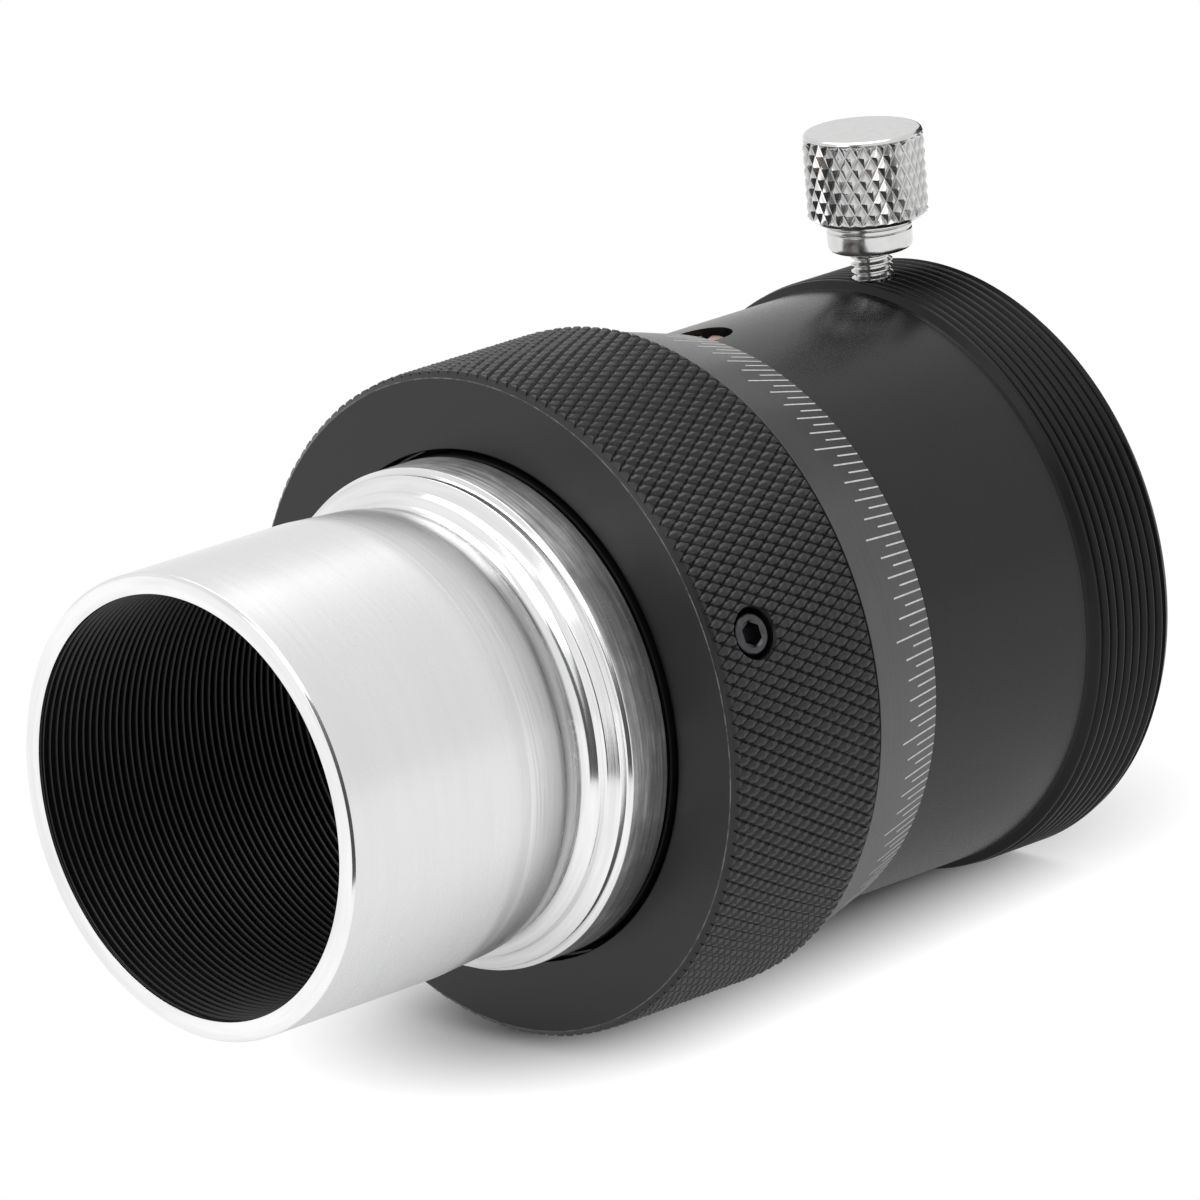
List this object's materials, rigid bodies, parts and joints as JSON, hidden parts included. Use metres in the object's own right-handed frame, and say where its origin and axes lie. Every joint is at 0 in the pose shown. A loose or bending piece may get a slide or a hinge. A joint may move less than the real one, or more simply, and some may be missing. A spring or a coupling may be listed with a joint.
{
  "type": "helical focuser",
  "caption": "Helical focuser for a telescope: push-fit nosepiece, knurled ring with engraved scale, and a sliding eyepiece holder with a clamp screw and male rear thread.",
  "frame": {"origin": "on the optical axis, in the plane of the shoulder where the nosepiece seats on the telescope", "axes": "+X along the optical axis towards the eyepiece, nosepiece towards -X; +Z towards the clamp thumbscrew"},
  "size_m": [0.0723, 0.0462, 0.0545],
  "materials": {
    "bright_aluminium": "turned bright, brushed around the axis",
    "black_anodised": "satin black anodised",
    "scale_anodised": "satin dark grey anodised with bright engraved ticks",
    "bronze": "turned bronze",
    "blackened_steel": "black oxide",
    "nickel": "bright nickel plated, knurled",
    "washer_plastic": "smooth white low-friction plastic",
    "tip_plastic": "plain soft plastic"
  },
  "bodies": {
    "drawtube": {"nosepiece": "bright_aluminium", "drawtube": "black_anodised", "guide_screw": "bronze"},
    "focus_ring": {"grip_ring": "black_anodised", "scale_ring": "scale_anodised", "helicoid_nut": "black_anodised", "front_thrust_washer": "washer_plastic", "rear_thrust_washer": "washer_plastic", "grub_screw_1": "blackened_steel", "grub_screw_2": "blackened_steel", "grub_screw_3": "blackened_steel"},
    "housing": {"body_tube": "black_anodised", "eyepiece_holder": "black_anodised"},
    "clamp_tip": {"clamp_tip": "tip_plastic"},
    "thumbscrew": {"thumbscrew": "nickel"}
  },
  "joints": [
    {"name": "focus_turn", "type": "hinge", "parent": "drawtube", "child": "focus_ring", "pos_m": [0, 0, 0], "axis": [1, 0, 0], "range_deg": [-300, 0]},
    {"name": "focus_travel", "type": "slide", "parent": "drawtube", "child": "housing", "axis": [1, 0, 0], "range_m": [0, 0.008]},
    {"name": "clamp_travel", "type": "slide", "parent": "housing", "child": "clamp_tip", "axis": [0, 0, 1], "range_m": [-0.00125, 0.0015]},
    {"name": "clamp_turn", "type": "hinge", "parent": "clamp_tip", "child": "thumbscrew", "pos_m": [0.0424, 0, 0], "axis": [0, 0, 1], "range_deg": [-900, 1080]}
  ],
  "couplings": [
    {"joint": "focus_travel", "follows": "focus_turn", "m_per_rad": -0.0015279},
    {"joint": "clamp_turn", "follows": "clamp_travel", "rad_per_m": 12566}
  ]
}
